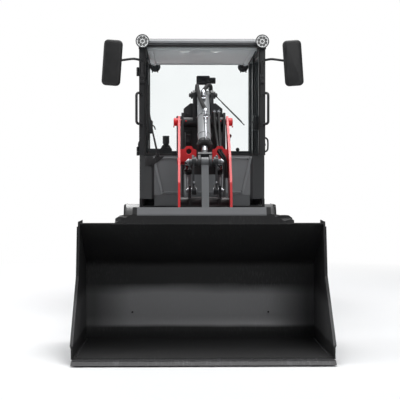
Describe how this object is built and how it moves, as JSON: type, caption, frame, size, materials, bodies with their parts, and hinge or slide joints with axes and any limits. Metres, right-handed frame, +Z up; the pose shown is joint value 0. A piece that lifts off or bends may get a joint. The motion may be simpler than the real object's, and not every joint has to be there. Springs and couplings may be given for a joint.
{
  "type": "articulated wheel loader",
  "caption": "Compact articulated wheel loader with a closed cab, a parallel lift linkage and a wide light-material bucket resting on the ground.",
  "frame": {"origin": "on the ground, in the middle of the box round the whole machine", "axes": "-Y is forward, +X is the driver's left, +Z is up"},
  "size_m": [1.72, 4.8, 2.3775],
  "materials": {
    "red_paint": "satin",
    "dark_paint": "satin",
    "engine_metal": "rough",
    "bucket_paint": "satin",
    "edge_steel": "worn",
    "grey_paint": "satin",
    "chrome_rod": "polished",
    "pin_steel": "satin",
    "glass": "clear",
    "black_plastic": "matte",
    "seat_cloth": "woven",
    "lamp_red": "gloss",
    "tyre_rubber": "matte",
    "rim_paint": "satin"
  },
  "bodies": {
    "rear": {"cab_floor": "dark_paint", "cab_posts": "dark_paint", "cab_rails": "dark_paint", "cab_walls": "dark_paint", "console": "black_plastic", "counterweight": "dark_paint", "door_hinges": "dark_paint", "engine_block": "engine_metal", "front_panel": "dark_paint", "front_work_lights": "black_plastic", "grab_handles": "dark_paint", "hood_hinge": "dark_paint", "mirror_arms": "dark_paint", "mirrors": "black_plastic", "rear_axle": "dark_paint", "rear_fenders": "dark_paint", "rear_frame": "dark_paint", "rear_window": "glass", "rear_work_lights": "black_plastic", "roof": "dark_paint", "seat_back": "seat_cloth", "seat_base": "black_plastic", "seat_cushion": "seat_cloth", "side_tanks": "dark_paint", "side_windows": "glass", "steering_column": "black_plastic", "steps": "dark_paint", "tail_lights": "lamp_red", "windshield": "glass"},
    "front": {"front_frame": "dark_paint", "front_axle": "dark_paint"},
    "arm": {"lift_arm": "red_paint"},
    "rocker_seat": {"rocker_pins": "pin_steel"},
    "rocker": {"rocker": "grey_paint"},
    "link_seat": {"rocker_top_pin": "pin_steel"},
    "link": {"bucket_link": "grey_paint"},
    "coupler_seat": {"coupler_pins": "pin_steel"},
    "bucket": {"coupler": "bucket_paint", "bucket": "bucket_paint", "cutting_edge": "edge_steel"},
    "tilt_barrel": {"tilt_cylinder_barrel": "grey_paint"},
    "tilt_rod": {"tilt_cylinder_rod": "chrome_rod"},
    "lift_barrels": {"lift_cylinder_barrels": "grey_paint"},
    "lift_rods": {"lift_cylinder_rods": "chrome_rod"},
    "door_left": {"door_left": "dark_paint", "door_left_glass": "glass"},
    "door_right": {"door_right": "dark_paint", "door_right_glass": "glass"},
    "hood": {"hood": "red_paint"},
    "wheel_front_left": {"front_left_tyre": "tyre_rubber", "front_left_rim": "rim_paint"},
    "wheel_front_right": {"front_right_tyre": "tyre_rubber", "front_right_rim": "rim_paint"},
    "wheel_rear_left": {"rear_left_tyre": "tyre_rubber", "rear_left_rim": "rim_paint"},
    "wheel_rear_right": {"rear_right_tyre": "tyre_rubber", "rear_right_rim": "rim_paint"}
  },
  "joints": [
    {"name": "steer", "type": "hinge", "parent": "rear", "child": "front", "pos_m": [0, 0.22, 0.5], "axis": [0, 0, 1], "range_deg": [-40, 40]},
    {"name": "lift", "type": "hinge", "parent": "front", "child": "arm", "pos_m": [0, -0.24, 1.63], "axis": [-1, 0, 0], "range_deg": [0, 88]},
    {"name": "rocker_level", "type": "hinge", "parent": "arm", "child": "rocker_seat", "pos_m": [0, -0.85, 1.075], "axis": [-1, 0, 0], "range_deg": [-88, 0]},
    {"name": "rocker_turn", "type": "hinge", "parent": "rocker_seat", "child": "rocker", "pos_m": [0, -0.85, 1.075], "axis": [-1, 0, 0], "range_deg": [-40, 40]},
    {"name": "link_level", "type": "hinge", "parent": "rocker", "child": "link_seat", "pos_m": [0, -0.85, 1.293], "axis": [-1, 0, 0], "range_deg": [-40, 40]},
    {"name": "link_turn", "type": "hinge", "parent": "link_seat", "child": "link", "pos_m": [0, -0.85, 1.293], "axis": [-1, 0, 0], "range_deg": [0, 88]},
    {"name": "coupler_level", "type": "hinge", "parent": "arm", "child": "coupler_seat", "pos_m": [0, -1.15, 0.33], "axis": [-1, 0, 0], "range_deg": [-88, 0]},
    {"name": "bucket_tilt", "type": "hinge", "parent": "coupler_seat", "child": "bucket", "pos_m": [0, -1.15, 0.33], "axis": [-1, 0, 0], "range_deg": [-40, 40]},
    {"name": "tilt_barrel_turn", "type": "hinge", "parent": "front", "child": "tilt_barrel", "pos_m": [0, -0.24, 1.848], "axis": [-1, 0, 0], "range_deg": [0, 88]},
    {"name": "tilt_rod_slide", "type": "slide", "parent": "tilt_barrel", "child": "tilt_rod", "axis": [0, -0.7397, -0.673], "range_m": [-0.1, 0.1]},
    {"name": "lift_barrel_turn", "type": "hinge", "parent": "front", "child": "lift_barrels", "pos_m": [0, -0.1, 0.48], "axis": [-1, 0, 0], "range_deg": [0, 11.05]},
    {"name": "lift_rod_slide", "type": "slide", "parent": "lift_barrels", "child": "lift_rods", "axis": [0, -0.4893, 0.8721], "range_m": [0, 0.59544]},
    {"name": "door_left_swing", "type": "hinge", "parent": "rear", "child": "door_left", "pos_m": [0.548, 0.874, 1.7], "axis": [0, 0, 1], "range_deg": [0, 90]},
    {"name": "door_right_swing", "type": "hinge", "parent": "rear", "child": "door_right", "pos_m": [-0.548, 0.115, 1.7], "axis": [0, 0, 1], "range_deg": [0, 90]},
    {"name": "hood_lift", "type": "hinge", "parent": "rear", "child": "hood", "pos_m": [0, 1.383, 1.406], "axis": [1, 0, 0], "range_deg": [0, 55]},
    {"name": "front_left_roll", "type": "hinge", "parent": "front", "child": "wheel_front_left", "pos_m": [0.505, -0.6, 0.443], "axis": [1, 0, 0], "continuous": true},
    {"name": "front_right_roll", "type": "hinge", "parent": "front", "child": "wheel_front_right", "pos_m": [-0.505, -0.6, 0.443], "axis": [1, 0, 0], "continuous": true},
    {"name": "rear_left_roll", "type": "hinge", "parent": "rear", "child": "wheel_rear_left", "pos_m": [0.505, 1.3, 0.443], "axis": [1, 0, 0], "continuous": true},
    {"name": "rear_right_roll", "type": "hinge", "parent": "rear", "child": "wheel_rear_right", "pos_m": [-0.505, 1.3, 0.443], "axis": [1, 0, 0], "continuous": true}
  ],
  "couplings": [
    {"joint": "rocker_level", "follows": "lift", "ratio": -1},
    {"joint": "rocker_turn", "follows": "bucket_tilt", "ratio": 1},
    {"joint": "link_level", "follows": "bucket_tilt", "ratio": -1},
    {"joint": "link_turn", "follows": "lift", "ratio": 1},
    {"joint": "coupler_level", "follows": "lift", "ratio": -1},
    {"joint": "tilt_barrel_turn", "follows": "lift", "ratio": 1},
    {"joint": "tilt_rod_slide", "follows": "bucket_tilt", "m_per_rad": -0.14324},
    {"joint": "lift_barrel_turn", "follows": "lift", "ratio": 0.12543},
    {"joint": "lift_rod_slide", "follows": "lift", "m_per_rad": 0.38762}
  ]
}
